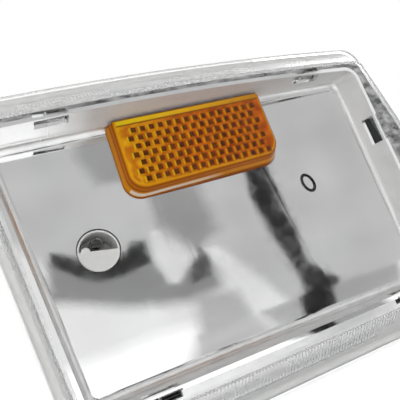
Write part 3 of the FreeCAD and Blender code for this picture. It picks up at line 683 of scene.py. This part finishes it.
# Studio flags that the bright bowl mirrors: name, grey level, soft edge in metres, and the outline of the
# reflection, drawn in pixels of the photograph. The camera doesn't see the flags themselves.
PICTURE = 400
FLAG_Y = -0.6
FLAG_STEP = 2.0 * MM
FLAGS = [
    ("shade", 0.36, 0.02, [
        (48, 268), (100, 280), (150, 262), (205, 262), (215, 285), (190, 296), (120, 300), (52, 298)]),
    ("band", 0.05, 0.006, [
        (50, 256), (78, 259), (100, 266), (120, 258), (130, 245), (142, 243), (150, 262), (122, 275),
        (100, 280), (76, 274), (52, 268)]),
    ("corner", 0.62, 0.02, [(200, 300), (232, 296), (262, 330), (250, 345), (205, 345)]),
    ("spot", 0.12, 0.006, [(188, 245), (206, 256), (206, 276), (192, 284), (187, 262)]),
    ("blob", 0.95, 0.006, [
        (150, 234), (168, 230), (186, 240), (190, 256), (178, 284), (168, 284), (154, 262)]),
    ("streak", 1.0, 0.008, [
        (203, 251), (214, 250), (244, 272), (270, 300), (294, 332), (280, 338), (252, 304), (226, 272)]),
    ("stripe", 0.02, 0.004, [
        (240, 168), (256, 168), (271, 200), (287, 230), (302, 265), (320, 277), (332, 280), (335, 291),
        (305, 302), (300, 285), (286, 260), (265, 230), (250, 200)]),
    ("smudge", 0.40, 0.02, [(148, 192), (190, 192), (207, 232), (190, 250), (165, 225)]),
    ("left_smudge", 0.42, 0.02, [(76, 135), (104, 138), (120, 182), (96, 186), (80, 160)]),
]
FLOOR_FLAG_STEP = 0.5 * MM
FLOOR_FLAG_Z = FLOOR_Z + FLOOR_FLAG_STEP
FLOOR_FLAGS = [
    ("floor_grey", 0.5, 0.01, [(330, 285), (400, 258), (400, 305), (345, 330)]),
    ("floor_middle", 0.6, 0.01, [(262, 312), (303, 297), (312, 330), (294, 334)]),
    ("floor_stripe", 0.02, 0.004, [(303, 297), (331, 285), (340, 328), (312, 330)]),
    ("floor_corner", 0.7, 0.02, [(200, 335), (250, 318), (265, 335), (250, 347), (205, 362)]),
]

# The largest flag reaches past the picture, so its outline is in metres on the flags' plane
BACK_FLAG = ("wall", 0.68, 0.03, [
    (-0.12, 0.2), (-0.02, 0.17), (0.06, 0.14), (0.11, 0.125), (0.18, 0.09), (0.24, 0.02), (0.3, -0.09),
    (0.42, -0.2), (0.55, -0.2), (0.55, 0.42), (-0.12, 0.42)])
FLAG_TONES = (0.85, 1.0)
Y_AXIS = 1
Z_AXIS = 2


def mirrored(column, row, axis, level):
    """Point on a plane, at a level of an axis, that the camera sees in the bowl's floor at a pixel."""
    pixels = PICTURE * CAMERA_LENS / CAMERA_SENSOR
    sideways = (column - PICTURE / 2) / pixels
    downwards = (row - PICTURE / 2) / pixels
    ray = (CAMERA_RIGHT * sideways - CAMERA_UP * downwards - CAMERA_BACK).normalized()
    axle = Vector((DISH_X, DISH_Y - DISH_RADIUS))
    start = CAMERA_PLACE.xy - axle
    square = ray.xy.length_squared
    along = start.dot(ray.xy)
    reach = (math.sqrt(along ** 2 - square * (start.length_squared - DISH_RADIUS ** 2)) - along) / square
    hit = CAMERA_PLACE + ray * reach
    ray = ray.reflect((hit.xy - axle).to_3d().normalized())
    return hit + ray * ((level - hit[axis]) / ray[axis])


def outwards(corners, index):
    """Direction in the plane that leads away from a polygon at one of its corners."""
    before, here, after = (Vector(corners[(index + k) % len(corners)]) for k in (-1, 0, 1))
    area = sum(a[0] * b[1] - b[0] * a[1] for a, b in zip(corners, corners[1:] + corners[:1]))
    along = (here - before).normalized() + (after - here).normalized()
    side = Vector((along.y, -along.x)).normalized()
    return side if area > 0 else -side


def make_flag(name, level, soft, corners, lift):
    """Card of one grey level with a soft edge, which only mirrors and clear parts show."""
    name = "flag_" + name
    count = len(corners)
    edge = [tuple(Vector(corner) + outwards(corners, k) * soft) for k, corner in enumerate(corners)]
    sides = [(k, (k + 1) % count, (k + 1) % count + count, k + count) for k in range(count)]
    mesh = bpy.data.meshes.new(name)
    mesh.from_pydata([lift(*corner) for corner in corners + edge], [], [tuple(range(count))] + sides)
    cover = mesh.attributes.new("cover", "FLOAT", "POINT")
    for k in range(count):
        cover.data[k].value = 1.0
    card = put(name, mesh)
    card.visible_camera = False
    card.visible_diffuse = False
    card.visible_shadow = False
    material, tree, shader = new_material(
        name, Base_Color=BLACK, Specular_IOR_Level=0.0, Roughness=1.0, Emission_Strength=level)
    share = add(tree, "ShaderNodeAttribute", attribute_name="cover")
    tree.links.new(tones(tree, noise(tree, 12.0), FLAG_TONES), shader.inputs["Emission Color"])
    tree.links.new(share.outputs["Fac"], shader.inputs["Alpha"])
    mesh.materials.append(material)


make_flag(*BACK_FLAG, lambda x, z: (x, FLAG_Y, z))
for index, (name, level, soft, outline) in enumerate(FLAGS, 1):
    corners = [tuple(mirrored(*pixel, Y_AXIS, FLAG_Y).xz) for pixel in outline]
    make_flag(name, level, soft, corners, lambda x, z: (x, FLAG_Y + index * FLAG_STEP, z))
for index, (name, level, soft, outline) in enumerate(FLOOR_FLAGS):
    corners = [tuple(mirrored(*pixel, Z_AXIS, FLOOR_FLAG_Z).xy) for pixel in outline]
    make_flag(name, level, soft, corners, lambda x, y: (x, y, FLOOR_FLAG_Z + index * FLOOR_FLAG_STEP))

# Softboxes: name, place and power of large square lights that look at the middle of the part
SOFTBOX_SIZE = 0.6
SOFTBOX_TARGET = Vector((0, 0, 0.03))
SOFTBOXES = [
    ("key", (-0.6, -0.7, 0.9), 6.0),
    ("fill", (0.8, 0.6, 0.7), 4.0),
]
for name, place, power in SOFTBOXES:
    light = bpy.data.lights.new(name, "AREA")
    light.size = SOFTBOX_SIZE
    light.energy = power
    holder = put(name, light)
    holder.location = place
    holder.rotation_euler = (SOFTBOX_TARGET - Vector(place)).to_track_quat("-Z", "Y").to_euler()

bpy.context.scene.view_settings.view_transform = "Standard"
